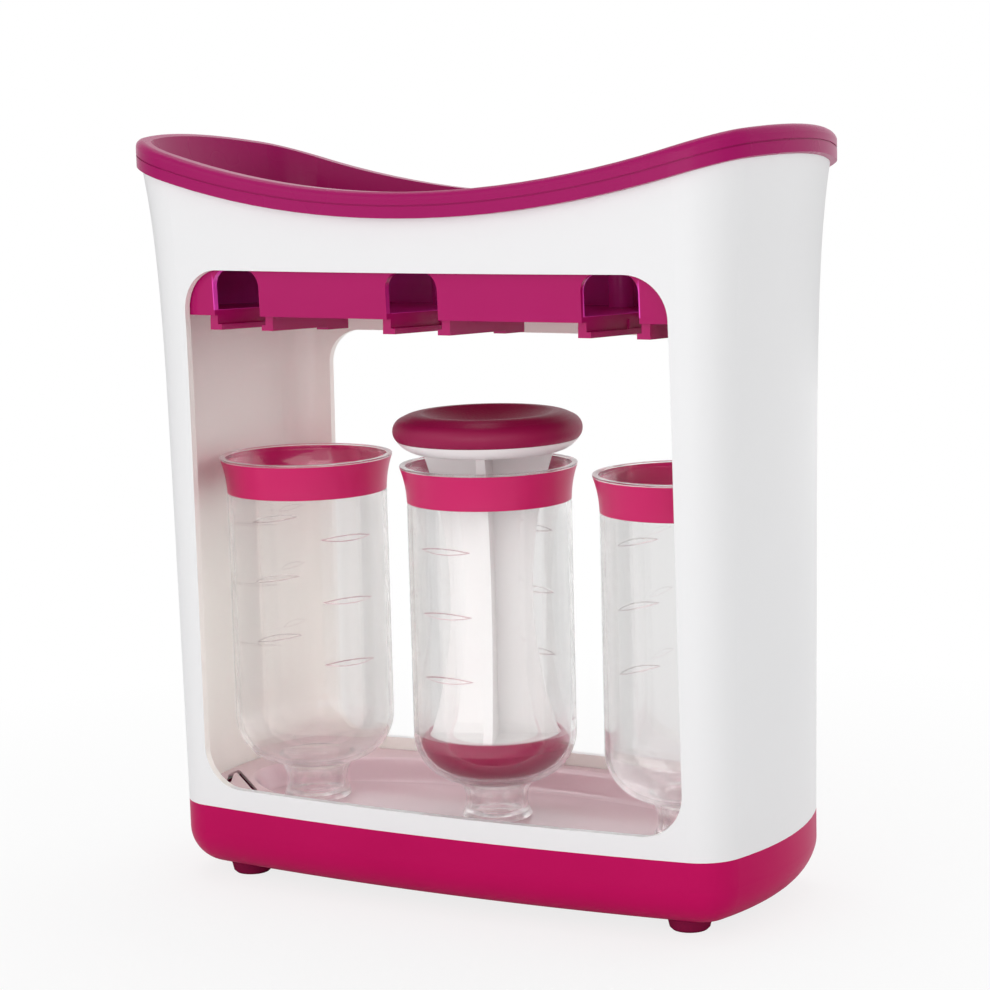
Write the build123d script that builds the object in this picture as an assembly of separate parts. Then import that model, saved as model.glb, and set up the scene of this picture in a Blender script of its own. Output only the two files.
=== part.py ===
from build123d import *
import os
from math import atan2, cos, hypot, pi, radians, sin, sqrt, tan

# Driving dimensions, in millimetres and degrees.
# The origin is on the surface the station stands on, below its middle.
# X runs along the width, the front faces -Y and Z is up.

# Plan of the casing at the seam with the base: bowed sides, bowed ends and round corners
half_width = 105.3
half_depth = 47.4
side_bow_radius = 754.0
end_bow_radius = 107.3
corner_radius = 14.7

# Casing
seam_z = 26.0
casing_wall = 2.6
casing_lean = 2.2
casing_flare = 2.75
flare_sharpness = 8
flare_reference = 200.0
flange_width = 2.4
flange_thickness = 1.0

# Windows in the casing, with their sides as insets from the casing's ends
front_sill_z = 33.0
front_head_z = 204.7
front_window_top_inset = 19.7
front_window_bottom_inset = 18.5
front_window_corner = 13.6
rear_sill_z = 32.5
rear_head_z = 177.4
rear_window_inset = 20.1
rear_window_corner = 11.5

# Saddle-shaped rim of the top tray, lower at the back
saddle_low_z = 218.9
saddle_radius = 335.0
saddle_tilt = 2.86
rim_crown_radius = 316.0
rim_height = 8.1
rim_overhang = 8.3
rim_band_height = 3.6
rim_groove_width = 0.5
rim_groove_depth = 0.35
rim_top_round = 2.2

# Basin of the top tray
tray_wall = 2.0
tray_clearance = 0.5
tray_floor_z = 206.0
tray_floor_thickness = 2.0
seat_hole_radius = 12.0
seat_dish_radius = 21.0
seat_depth = 2.6
seat_wall = 1.8

# Bracket frame under the tray; the outer brackets stand nearer to the middle than the tubes by the shift
bracket_shift = 3.6
shelf_z = 187.7
shelf_thickness = 1.8
frame_wall = 2.2
slot_half_width = 9.15
arch_head_z = 202.6
arch_corner = 5.5
rail_wall = 2.8
rail_drop = 4.7
rail_foot_reach = 1.5
rail_foot_thickness = 1.8
rail_back_y = 5.0
right_foot_length = 3.0
arch_depth = 12.0
band_drop = 10.0
rear_pad_length = 13.0
rear_pad_drop = 0.9
detent_reach = 0.7
detent_width = 1.4
detent_y = -12.0
peg_radius = 2.4
peg_clearance = 0.1
peg_y = 33.0
peg_boss_radius = 4.2

# Base tub
base_bottom_z = 4.2
base_wall = 2.6
base_round = 12.5
foot_inset = 24.3
foot_y = 25.5
foot_radius = 7.0
foot_sole_radius = 6.4
foot_recess = 1.0
foot_chamfer = 0.8
base_pad_radius = 6.2
base_pad_height = 4.6
screw_radius = 1.5
screw_clearance = 0.3
screw_head_radius = 3.1
screw_head_height = 2.2
screw_head_room = 0.25
screw_length = 9.0
screw_slot_reach = 1.8
screw_slot_half_width = 0.4
screw_slot_depth = 1.0
insert_boss_radius = 4.2
pilot_spare = 0.5

# Floor insert: a flat ledge at the walls and a smooth dish between them
insert_clearance = 0.3
ledge_thickness = 1.2
well_floor_z = 21.5
well_thickness = 1.8
well_flat_half_depth = 30.0
well_flat_margin = 6.0
well_end_inset = 12.5
well_steps = 8

# Slots that free a snap tongue at each front corner of the ledge, as distances from the casing's end and
# from its middle line towards the front
tongue_slot_width = 1.6
tongue_slot_depth = 5.0
tongue_slot_path = ((12.0, 19.8), (7.1, 11.0), (6.7, 6.2), (26.6, 25.9))

# Clear tubes, given as heights above the foot of the nozzle
tube_end_room = 35.3
tube_radius = 26.95
tube_wall = 1.65
tube_height = 117.8
dome_height = 28.5
dome_radius = 15.87
neck_radius = 13.4
neck_drop = 4.8
waist_radius = 10.8
waist_height = 2.0
spout_ring_radius = 11.4
spout_ring_height = 1.2
spout_bore_radius = 5.2
spout_socket_radius = 7.2
spout_socket_depth = 3.9
funnel_radius = 8.6
funnel_depth = 5.5
lip_reach = 2.15
lip_thickness = 1.9
lip_chamfer = 0.5
collar_drop = 12.0
collar_recess = 0.7
collar_thickness = 0.9
collar_flare = 1.84
collar_bow = 0.35
collar_bow_share = 0.55
mouth_wall_share = 0.58
mouth_step = 2.0

# Plunger stem, given at rest in the middle tube
fin_thickness = 3.0
fin_turn = 21.4
fin_waist_half = 13.6
fin_top_half = 21.5
fin_bottom_half = 21.2
fin_waist_share = 0.44
foot_plate_radius = 21.6
foot_plate_thickness = 2.6
foot_plate_rise = 25.4
button_neck_radius = 8.0
button_neck_length = 2.6
button_radius = 11.0
button_thickness = 2.4

# Plunger seal, a soft cup whose lip curls in over the foot plate
seal_gap = 0.3
seal_bottom_rise = 15.4
seal_floor_radius = 11.4
seal_widest_rise = 25.3
seal_tip_radius = 22.5
seal_tip_rise = 0.9
seal_tip_thickness = 0.6
seal_side_angle = 47.0

# Plunger head and its soft grip
head_lift = 4.2
head_height = 4.0
head_bottom_radius = 23.5
head_top_radius = 29.8
head_swell = 0.7
head_swell_share = 0.38
spigot_radius = 6.0
spigot_height = 3.0
grip_radius = 31.0
grip_height = 8.6
grip_widest_share = 0.32
grip_shoulder_inset = 2.9
grip_shoulder_drop = 1.3
grip_crown_share = 0.25
grip_ridge_radius = 21.5
grip_dish = 3.6

# Values that follow from the driving dimensions
ledge_z = seam_z + flange_thickness
front_window_top_half = half_width - front_window_top_inset
front_window_bottom_half = half_width - front_window_bottom_inset
rear_window_half = half_width - rear_window_inset
foot_x = half_width - foot_inset
tube_pitch = half_width - tube_end_room
bracket_pitch = tube_pitch - bracket_shift
tube_inner_radius = tube_radius - tube_wall
lip_radius = tube_radius + lip_reach
collar_bottom = tube_height - collar_drop
head_underside_rise = tube_height + head_lift
peg_x = bracket_pitch / 2
dome_x = tube_radius - dome_radius
dome_inner_radius = dome_radius - tube_wall
dome_z = well_floor_z + dome_height

# Helpers for cutting: a block larger than the station, the length that a cutter runs past what it cuts,
# the spacing of the sections in a loft, how near two heights count as the same, the least upward share
# of a top face's normal, and the middle of a quarter turn
slab = 400.0
over = 1.0
section_spacing = 25.0
same_height = 0.01
upward = 0.7
quarter_middle = 45.0


def corner_centre():
    """Centre of the plan's right front corner arc, where the side and end arcs meet it."""
    side_y = side_bow_radius - half_depth
    end_x = half_width - end_bow_radius
    side_reach = side_bow_radius - corner_radius
    end_reach = end_bow_radius - corner_radius
    gap = sqrt(end_x**2 + side_y**2)
    along = (side_reach**2 - end_reach**2 + gap**2) / (2 * gap)
    across = sqrt(side_reach**2 - along**2)
    ux = end_x / gap
    uy = -side_y / gap
    return ux * along - uy * across, side_y + uy * along + ux * across


def plan_wire(offset, z):
    """The casing's plan, offset outward, at height z."""
    cx, cy = corner_centre()
    side_y = side_bow_radius - half_depth
    end_x = half_width - end_bow_radius
    radius = corner_radius + offset
    side_angle = atan2(cy - side_y, cx)
    end_angle = atan2(cy, cx - end_x)
    mid_angle = (side_angle + end_angle) / 2
    p1 = (cx + radius * cos(side_angle), cy + radius * sin(side_angle))
    p2 = (cx + radius * cos(mid_angle), cy + radius * sin(mid_angle))
    p3 = (cx + radius * cos(end_angle), cy + radius * sin(end_angle))
    side = half_depth + offset
    end = half_width + offset

    def arc(a, b, c):
        points = [Vector(x, y, z) for x, y in (a, b, c)]
        return Edge.make_three_point_arc(*points)

    return Wire([
        arc((-p1[0], p1[1]), (0, -side), p1),
        arc(p1, p2, p3),
        arc(p3, (end, 0), (p3[0], -p3[1])),
        arc((p3[0], -p3[1]), (p2[0], -p2[1]), (p1[0], -p1[1])),
        arc((p1[0], -p1[1]), (0, side), (-p1[0], -p1[1])),
        arc((-p1[0], -p1[1]), (-p2[0], -p2[1]), (-p3[0], -p3[1])),
        arc((-p3[0], -p3[1]), (-end, 0), (-p3[0], p3[1])),
        arc((-p3[0], p3[1]), (-p2[0], p2[1]), (-p1[0], p1[1])),
    ])


def casing_offset(z):
    """How far the casing stands outside its seam plan at height z."""
    share = max(z - seam_z, 0.0) / flare_reference
    return casing_lean * share + casing_flare * share**flare_sharpness


def prism(offset, low, high):
    """Upright block of the offset plan from height low to height high."""
    return Solid.extrude(Face(plan_wire(offset, low)), Vector(0, 0, high - low))


def sleeve(inset, low, high):
    """Flared block that follows the casing, inset from its outer face."""
    steps = max(2, round((high - low) / section_spacing))
    heights = [low + (high - low) * i / steps for i in range(steps + 1)]
    return Solid.make_loft([plan_wire(casing_offset(z) - inset, z) for z in heights])


def under_saddle(lift, radius=saddle_radius):
    """Everything below the rim's lower saddle surface, or one of another radius, raised by lift."""
    centre_z = saddle_low_z + lift + radius
    reach = slab / 2
    end_z = centre_z - sqrt(radius**2 - reach**2)
    back = -slab / 2
    drop = slab * tan(radians(saddle_tilt))
    rise = drop / 2

    def point(x, z):
        return Vector(x, back, z + rise)

    edges = [
        Edge.make_three_point_arc(point(-reach, end_z), point(0, saddle_low_z + lift), point(reach, end_z)),
        Edge.make_line(point(reach, end_z), point(reach, -slab)),
        Edge.make_line(point(reach, -slab), point(-reach, -slab)),
        Edge.make_line(point(-reach, -slab), point(-reach, end_z)),
    ]
    return Solid.extrude(Face(Wire(edges)), Vector(0, slab, -drop))


def box(x0, x1, y0, y1, z0, z1):
    """Block between two opposite corners."""
    return Pos((x0 + x1) / 2, (y0 + y1) / 2, (z0 + z1) / 2) * Box(x1 - x0, y1 - y0, z1 - z0)


def disc(x, y, radius, low, high):
    """Upright cylinder from height low to height high."""
    return Pos(x, y, (low + high) / 2) * Cylinder(radius, high - low)


def turned(edges):
    """Solid of revolution about Z from edges in the XZ plane, closed by one line."""
    wire = Wire(edges)
    if not wire.is_closed:
        wire = Wire(edges + [Edge.make_line(edges[-1] @ 1, edges[0] @ 0)])
    return Solid.revolve(Face(wire), 360, Axis.Z)


def line(*points):
    """Edges joining points given as radius and height."""
    vectors = [Vector(r, 0, z) for r, z in points]
    return [Edge.make_line(a, b) for a, b in zip(vectors, vectors[1:])]


def bow(a, b, c):
    """Arc through three points given as radius and height."""
    return [Edge.make_three_point_arc(*[Vector(r, 0, z) for r, z in (a, b, c)])]


def tilted(shape):
    """Turn a level shape about X by the tray's slope, at the shelf's height."""
    return Pos(0, 0, shelf_z) * Rot(-saddle_tilt, 0, 0) * Pos(0, 0, -shelf_z) * shape


def window(top_half, bottom_half, sill_z, head_z, corner, y0, y1):
    """Cutter for a window with round corners, from y0 to y1."""
    points = [
        Vector(-bottom_half, y0, sill_z),
        Vector(bottom_half, y0, sill_z),
        Vector(top_half, y0, head_z),
        Vector(-top_half, y0, head_z),
    ]
    block = Solid.extrude(Face(Wire.make_polygon(points)), Vector(0, y1 - y0, 0))
    return fillet(block.edges().filter_by(Axis.Y), corner)


def casing_top():
    """A height safely above every part of the casing."""
    return saddle_low_z + half_width**2 / saddle_radius + rim_height


def make_housing():
    """Tapered casing, open at the bottom and top, with a front and a rear window."""
    top = casing_top()
    shell = sleeve(0, seam_z, top) - sleeve(casing_wall, seam_z, top)
    flange = prism(-casing_wall / 2, seam_z, ledge_z) - prism(-casing_wall - flange_width, seam_z, ledge_z)
    shell = shell + flange
    shell = shell & under_saddle(0)
    front = window(
        front_window_top_half, front_window_bottom_half, front_sill_z, front_head_z,
        front_window_corner, -half_depth * 2, 0,
    )
    rear = window(
        rear_window_half, rear_window_half, rear_sill_z, rear_head_z,
        rear_window_corner, 0, half_depth * 2,
    )
    return shell - front - rear


def foot_places():
    """Centres of the feet and base screws."""
    return [(sx * foot_x, sy * foot_y) for sx in (-1, 1) for sy in (-1, 1)]


def make_base():
    """Tub with a round bottom edge, foot recesses and screw pads."""
    outer = prism(0, base_bottom_z, seam_z)
    rim_edges = outer.edges().filter_by(lambda e: abs(e.center().Z - base_bottom_z) < same_height)
    outer = outer.fillet(base_round, rim_edges)
    floor_z = base_bottom_z + base_wall
    inner = prism(-base_wall, floor_z, seam_z + over)
    floor_edges = inner.edges().filter_by(lambda e: abs(e.center().Z - floor_z) < same_height)
    inner = inner.fillet(base_round - base_wall, floor_edges)
    tub = outer - inner
    pad_top = floor_z + base_pad_height
    head_low = base_bottom_z + foot_recess
    head_high = head_low + screw_head_height + screw_head_room
    for x, y in foot_places():
        tub = tub + disc(x, y, base_pad_radius, floor_z - base_wall / 2, pad_top)
    for x, y in foot_places():
        tub = tub - disc(x, y, foot_radius, 0, head_low)
        tub = tub - disc(x, y, screw_head_radius + screw_clearance, head_low, head_high)
        tub = tub - disc(x, y, screw_radius + screw_clearance, head_high, pad_top + over)
    return tub


def make_foot(x, y):
    """Rubber foot that closes its recess over the screw head."""
    top = base_bottom_z + foot_recess
    profile = line(
        (0, 0), (foot_sole_radius - foot_chamfer, 0), (foot_sole_radius, foot_chamfer),
        (foot_radius, base_bottom_z - foot_chamfer), (foot_radius, top), (0, top), (0, 0),
    )
    return Pos(x, y, 0) * turned(profile)


def make_base_screws():
    """Four pan-head screws that pull the floor insert down onto the casing and base."""
    seat = base_bottom_z + foot_recess + screw_head_room
    top = seat + screw_head_height
    screws = []
    for x, y in foot_places():
        head = disc(x, y, screw_head_radius, seat, top)
        shank = disc(x, y, screw_radius, top, top + screw_length)
        screw = head + shank
        for dx, dy in (
            (screw_slot_reach, screw_slot_half_width),
            (screw_slot_half_width, screw_slot_reach),
        ):
            screw = screw - box(x - dx, x + dx, y - dy, y + dy, seat, seat + screw_slot_depth)
        screws.append(screw)
    return Compound(screws)


def dish(grow):
    """The floor's dish as a solid with an S-shaped side, grown sideways and, away from its rim, downwards."""
    rim_z = ledge_z + ledge_thickness
    flat_x = tube_pitch + spout_ring_radius + well_flat_margin
    rim_x = half_width - well_end_inset
    rim_y = half_depth - casing_wall - flange_width - insert_clearance - well_thickness
    sections = []
    for i in range(well_steps + 1):
        share = i / well_steps
        z = well_floor_z + (rim_z - well_floor_z) * (1 - cos(pi * share)) / 2 - grow * (1 - share**2)
        reach_x = flat_x + (rim_x - flat_x) * share + grow
        reach_y = well_flat_half_depth + (rim_y - well_flat_half_depth) * share + grow
        sections.append(Pos(0, 0, z) * Ellipse(reach_x, reach_y))
    return loft(sections)


def tongue_slot(side):
    """Narrow slot round a snap tongue in the ledge, at the left (-1) or right (1) end."""
    high = ledge_z + ledge_thickness + over
    low = ledge_z + ledge_thickness - tongue_slot_depth
    points = [(side * (half_width - inset), -front) for inset, front in tongue_slot_path]
    radius = tongue_slot_width / 2
    slot = disc(*points[0], radius, low, high)
    for (ax, ay), (bx, by) in zip(points, points[1:]):
        run = Box(hypot(bx - ax, by - ay), tongue_slot_width, high - low)
        middle = Pos((ax + bx) / 2, (ay + by) / 2, (low + high) / 2)
        slot = slot + middle * Rot(0, 0, atan2(by - ay, bx - ax) * 180 / pi) * run
        slot = slot + disc(bx, by, radius, low, high)
    return slot


def make_floor_insert():
    """Glossy floor: a ledge over the casing's flange, a smooth dish and screw bosses."""
    top = ledge_z + ledge_thickness
    insert = prism(-casing_wall - insert_clearance, ledge_z, top)
    insert = insert + dish(well_thickness)
    pad_top = base_bottom_z + base_wall + base_pad_height
    pilot_top = base_bottom_z + foot_recess + screw_head_room + screw_head_height + screw_length + pilot_spare
    for x, y in foot_places():
        insert = insert + disc(x, y, insert_boss_radius, pad_top, ledge_z + ledge_thickness / 2)
    insert = insert - dish(0)
    for x, y in foot_places():
        insert = insert - disc(x, y, screw_radius, pad_top - over, pilot_top)
    return insert - tongue_slot(-1) - tongue_slot(1)


def make_top_tray():
    """Basin with three tube seats inside a saddle-shaped rim that hooks over the casing."""
    skin = casing_wall + tray_clearance
    top = casing_top()
    rim = prism(rim_overhang, tray_floor_z, top + rim_height) & under_saddle(rim_height, rim_crown_radius)
    rim = rim - under_saddle(0)
    rim_edges = rim.faces().filter_by(lambda f: f.normal_at().Z > upward).sort_by(Axis.Z)[-1].edges()
    rim = fillet(rim_edges, rim_top_round)
    cavity = sleeve(skin + tray_wall, tray_floor_z + tray_floor_thickness, top + rim_height)
    groove = prism(rim_overhang + over, tray_floor_z, top)
    groove = groove - prism(rim_overhang - rim_groove_depth, tray_floor_z, top)
    groove = groove & under_saddle(rim_band_height + rim_groove_width)
    groove = groove - under_saddle(rim_band_height)
    basin = sleeve(skin, tray_floor_z, top) & under_saddle(rim_height / 2)
    tray = rim + basin - cavity - groove
    for i in (-1, 0, 1):
        tray = tray + Pos(i * bracket_pitch, 0, 0) * seat_solid()
    for i in (-1, 0, 1):
        tray = tray - Pos(i * bracket_pitch, 0, 0) * seat_void()
    for x, y in peg_places():
        tray = tray - disc(x, y, peg_radius + peg_clearance, tray_floor_z - over, top)
    return tray


def seat_levels():
    """Lowest and highest level of a tube seat's dish."""
    return tray_floor_z - seat_depth, tray_floor_z + tray_floor_thickness


def seat_solid():
    """Outer body of one dished seat under the tray floor."""
    low, high = seat_levels()
    profile = line(
        (0, low - seat_wall), (seat_hole_radius + seat_wall, low - seat_wall),
        (seat_dish_radius + seat_wall, tray_floor_z), (seat_dish_radius + seat_wall, high), (0, high),
        (0, low - seat_wall),
    )
    return turned(profile)


def seat_void():
    """Dish and nozzle hole of one seat."""
    low, high = seat_levels()
    profile = line(
        (0, low - seat_wall - over), (seat_hole_radius, low - seat_wall - over), (seat_hole_radius, low),
        (seat_dish_radius, high), (seat_dish_radius, high + over), (0, high + over),
        (0, low - seat_wall - over),
    )
    return turned(profile)


def peg_places():
    """Centres of the pegs that hold the bracket frame to the tray."""
    return [(sx * peg_x, sy * peg_y) for sx in (-1, 1) for sy in (-1, 1)]


def make_bracket_frame():
    """Band behind the window head with a slotted shelf and three pairs of guide rails."""
    skin = casing_wall + tray_clearance
    outer = sleeve(skin, shelf_z - band_drop, tray_floor_z)
    inner = sleeve(skin + frame_wall, shelf_z - band_drop, tray_floor_z)
    above_shelf = tilted(box(-slab / 2, slab / 2, -slab / 2, slab / 2, shelf_z, shelf_z + slab))
    shelf_top = shelf_z + shelf_thickness
    shelf = outer & tilted(box(-slab / 2, slab / 2, -slab / 2, slab / 2, shelf_z, shelf_top))
    band = (outer - inner) & above_shelf
    frame = band + shelf
    front = -half_depth
    low = shelf_z - rail_drop
    foot_top = low + rail_foot_thickness
    for i in (-1, 0, 1):
        x = i * bracket_pitch
        left = x - slot_half_width
        right = x + slot_half_width
        front_y = front + casing_wall + tray_clearance + x * x / (2 * side_bow_radius)
        slot = box(left, right, -slab / 2, 0, shelf_z - over, shelf_top + over)
        slot = slot + disc(x, 0, slot_half_width, shelf_z - over, shelf_top + over)
        arch = box(left, right, -slab / 2, 0, shelf_z - band_drop, arch_head_z)
        top_edges = arch.edges().filter_by(Axis.Y).group_by(Axis.Z)[-1]
        arch = fillet(top_edges, arch_corner)
        arch = arch - box(
            left - over, right + over, front + arch_depth, slab, shelf_z - slab, arch_head_z + over,
        )
        rails = box(left - rail_wall, left, front_y, rail_back_y, low, shelf_top)
        rails = rails + box(right, right + rail_wall, front_y, rail_back_y, low, shelf_top)
        rails = rails + box(left, left + rail_foot_reach, front_y, rail_back_y, low, foot_top)
        rails = rails + box(
            right - rail_foot_reach, right, front_y, front_y + right_foot_length, low, foot_top,
        )
        rails = rails + box(
            right - rail_foot_reach, right + rail_wall, rail_back_y - rear_pad_length, rail_back_y,
            low - rear_pad_drop, foot_top,
        )
        rails = rails + box(
            left, left + detent_reach, detent_y - detent_width / 2, detent_y + detent_width / 2,
            foot_top, shelf_z,
        )
        frame = frame - tilted(slot) - tilted(arch) + tilted(rails)
    for x, y in peg_places():
        local_shelf = shelf_z + shelf_thickness / 2 - y * tan(radians(saddle_tilt))
        frame = frame + disc(x, y, peg_boss_radius, local_shelf, tray_floor_z)
        frame = frame + disc(x, y, peg_radius, local_shelf, tray_floor_z + tray_floor_thickness)
    return frame


def lip_levels():
    """Foot of the collar and underside of the clear lip, above the tube's bottom."""
    return collar_bottom, tube_height - lip_thickness


def flare_points(radius):
    """Three points of the tube mouth's flare for a given radius at the collar's foot."""
    low, high = lip_levels()
    middle = low + (high - low) * collar_bow_share
    return (radius, low), (radius + collar_bow, middle), (radius + collar_flare, high)


def dome_point(radius, angle, height):
    """Point on an arc about the dome's centre, at an angle below level, as radius and height."""
    return dome_x + radius * cos(radians(angle)), height - radius * sin(radians(angle))


def make_tube(x):
    """Clear tube with a dome, a waisted nozzle with a spout socket, and a flared lip."""
    low, high = lip_levels()
    neck_z = dome_height - sqrt(dome_radius**2 - (neck_radius - dome_x) ** 2)
    neck_foot = neck_z - neck_drop
    neck_mid = (
        waist_radius + (neck_radius - waist_radius) * (1 - cos(radians(quarter_middle))),
        neck_foot + neck_drop * sin(radians(quarter_middle)),
    )
    recess = tube_radius - collar_recess
    outer_flare = flare_points(recess)
    inner_flare = flare_points(recess - tube_wall * mouth_wall_share)
    inner_floor = dome_height - dome_inner_radius
    mouth_radius = inner_flare[2][0]
    edges = line(
        (spout_socket_radius, 0), (spout_ring_radius, 0), (spout_ring_radius, spout_ring_height),
        (waist_radius, waist_height), (waist_radius, neck_foot),
    )
    edges += bow((waist_radius, neck_foot), neck_mid, (neck_radius, neck_z))
    outer_dome = dome_point(dome_radius, quarter_middle, dome_height)
    edges += bow((neck_radius, neck_z), outer_dome, (tube_radius, dome_height))
    edges += line((tube_radius, dome_height), (tube_radius, low), (recess, low))
    edges += bow(*outer_flare)
    edges += line(
        outer_flare[2], (lip_radius, high), (lip_radius, tube_height - lip_chamfer),
        (lip_radius - lip_chamfer, tube_height), (mouth_radius, tube_height), inner_flare[2],
    )
    edges += bow(inner_flare[2], inner_flare[1], inner_flare[0])
    edges += line(inner_flare[0], (tube_inner_radius, low - mouth_step), (tube_inner_radius, dome_height))
    inner_dome = dome_point(dome_inner_radius, quarter_middle, dome_height)
    edges += bow((tube_inner_radius, dome_height), inner_dome, (dome_x, inner_floor))
    edges += line(
        (dome_x, inner_floor), (funnel_radius, inner_floor), (spout_bore_radius, inner_floor - funnel_depth),
        (spout_bore_radius, spout_socket_depth), (spout_socket_radius, spout_socket_depth),
        (spout_socket_radius, 0),
    )
    return Pos(x, 0, well_floor_z) * turned(edges)


def make_collar(x):
    """Coloured band moulded round the tube's flared mouth."""
    recess = tube_radius - collar_recess
    inner = flare_points(recess)
    outer = flare_points(recess + collar_thickness)
    foot = (tube_radius, inner[0][1])
    edges = line(inner[0], foot)
    edges += bow(foot, outer[1], outer[2])
    edges += line(outer[2], inner[2])
    edges += bow(inner[2], inner[1], inner[0])
    return Pos(x, 0, well_floor_z) * turned(edges)


def make_plunger_stem():
    """Waisted cross-shaped stem with a spigot, a foot plate and a button for the seal."""
    plate_low = well_floor_z + foot_plate_rise
    plate_high = plate_low + foot_plate_thickness
    top = well_floor_z + head_underside_rise
    waist_z = plate_high + (top - plate_high) * fin_waist_share
    half = fin_thickness / 2

    def side(sign):
        points = [
            Vector(sign * fin_bottom_half, -half, plate_high),
            Vector(sign * fin_waist_half, -half, waist_z),
            Vector(sign * fin_top_half, -half, top),
        ]
        return Edge.make_three_point_arc(*points)

    left = side(-1)
    right = side(1)
    outline = Wire([left, right, Edge.make_line(left @ 0, right @ 0), Edge.make_line(left @ 1, right @ 1)])
    blade = Solid.extrude(Face(outline), Vector(0, fin_thickness, 0))
    cross = Rot(0, 0, fin_turn) * blade + Rot(0, 0, fin_turn + 90) * blade
    neck_low = plate_low - button_neck_length
    stem = cross + disc(0, 0, foot_plate_radius, plate_low, plate_high)
    stem = stem + disc(0, 0, button_neck_radius, neck_low, plate_low)
    stem = stem + disc(0, 0, button_radius, neck_low - button_thickness, neck_low)
    return stem + disc(0, 0, spigot_radius, top, top + spigot_height)


def make_plunger_seal():
    """Soft cup that fills the tube's dome, with a thin lip that curls in over the foot plate."""
    plate_low = well_floor_z + foot_plate_rise
    plate_high = plate_low + foot_plate_thickness
    reach = dome_inner_radius - seal_gap
    bottom = well_floor_z + seal_bottom_rise
    widest_z = well_floor_z + seal_widest_rise
    widest = dome_x + sqrt(reach**2 - (dome_z - widest_z) ** 2)
    tip_z = plate_high + seal_tip_rise
    lip_mid = (
        seal_tip_radius + (widest - seal_tip_radius) * cos(radians(quarter_middle)),
        (widest_z + tip_z) / 2,
    )
    edges = line((0, bottom), (seal_floor_radius, bottom))
    side_middle = dome_point(reach - seal_gap, seal_side_angle, dome_z)
    edges += bow((seal_floor_radius, bottom), side_middle, (widest, widest_z))
    edges += bow((widest, widest_z), lip_mid, (seal_tip_radius, tip_z))
    edges += line(
        (seal_tip_radius, tip_z), (seal_tip_radius - seal_tip_thickness, tip_z),
        (foot_plate_radius, plate_high), (foot_plate_radius, plate_low),
        (button_neck_radius, plate_low), (button_neck_radius, plate_low - button_neck_length),
        (button_radius, plate_low - button_neck_length),
        (button_radius, plate_low - button_neck_length - button_thickness),
        (0, plate_low - button_neck_length - button_thickness), (0, bottom),
    )
    return turned(edges)


def make_plunger_head():
    """White flared disc between the stem and the soft grip."""
    low = well_floor_z + head_underside_rise
    high = low + head_height
    mid = ((head_bottom_radius + head_top_radius) / 2 + head_swell, low + head_height * head_swell_share)
    edges = line((spigot_radius, low), (head_bottom_radius, low))
    edges += bow((head_bottom_radius, low), mid, (head_top_radius, high))
    edges += line(
        (head_top_radius, high), (0, high), (0, low + spigot_height), (spigot_radius, low + spigot_height),
        (spigot_radius, low),
    )
    return turned(edges)


def make_plunger_grip():
    """Soft cap with a full round edge and a dished top."""
    low = well_floor_z + head_underside_rise + head_height
    ridge = low + grip_height
    ridge_edge = (grip_ridge_radius, ridge)
    shoulder = (grip_radius - grip_shoulder_inset, ridge - grip_shoulder_drop)
    crown = ((shoulder[0] + grip_ridge_radius) / 2, ridge - grip_shoulder_drop * grip_crown_share)
    ball = (grip_ridge_radius**2 + grip_dish**2) / (2 * grip_dish)
    dish_radius = grip_ridge_radius / 2
    dish_mid = (dish_radius, ridge - grip_dish + ball - sqrt(ball**2 - dish_radius**2))
    edges = line((0, low), (head_top_radius, low))
    edges += bow((head_top_radius, low), (grip_radius, low + grip_height * grip_widest_share), shoulder)
    edges += bow(shoulder, crown, ridge_edge)
    edges += bow(ridge_edge, dish_mid, (0, ridge - grip_dish))
    edges += line((0, ridge - grip_dish), (0, low))
    return turned(edges)


def write(shape, name):
    """Write one piece as a STEP file."""
    export_step(shape, f"parts/{name}.step")


os.makedirs("parts", exist_ok=True)
write(make_housing(), "housing")
write(make_base(), "base_tub")
for (foot_cx, foot_cy), place in zip(foot_places(), ("left_front", "left_rear", "right_front", "right_rear")):
    write(make_foot(foot_cx, foot_cy), f"foot_{place}")
write(make_base_screws(), "base_screws")
write(make_floor_insert(), "floor_insert")
write(make_top_tray(), "top_tray")
write(make_bracket_frame(), "bracket_frame")
for index, place in zip((-1, 0, 1), ("left", "centre", "right")):
    write(make_tube(index * tube_pitch), f"tube_{place}")
    write(make_collar(index * tube_pitch), f"collar_{place}")
write(make_plunger_stem(), "plunger_stem")
write(make_plunger_seal(), "plunger_seal")
write(make_plunger_head(), "plunger_head")
write(make_plunger_grip(), "plunger_grip")
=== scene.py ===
from math import cos, hypot, pi, radians, sin, sqrt, tan

import bpy
from mathutils import Matrix, Vector


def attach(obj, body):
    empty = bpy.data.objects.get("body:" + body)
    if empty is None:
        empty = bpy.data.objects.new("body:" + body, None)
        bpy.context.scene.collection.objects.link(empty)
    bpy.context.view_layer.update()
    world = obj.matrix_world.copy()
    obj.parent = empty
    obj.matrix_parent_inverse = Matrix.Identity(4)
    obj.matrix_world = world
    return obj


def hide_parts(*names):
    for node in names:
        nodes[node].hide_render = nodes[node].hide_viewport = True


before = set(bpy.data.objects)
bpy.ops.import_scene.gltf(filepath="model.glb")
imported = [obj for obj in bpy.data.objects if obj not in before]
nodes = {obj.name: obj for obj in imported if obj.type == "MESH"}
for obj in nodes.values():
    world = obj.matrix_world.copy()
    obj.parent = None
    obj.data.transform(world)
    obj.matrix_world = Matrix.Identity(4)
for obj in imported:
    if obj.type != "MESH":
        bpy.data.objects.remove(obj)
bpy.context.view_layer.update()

MM = 0.001
TINY = 1e-6

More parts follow.
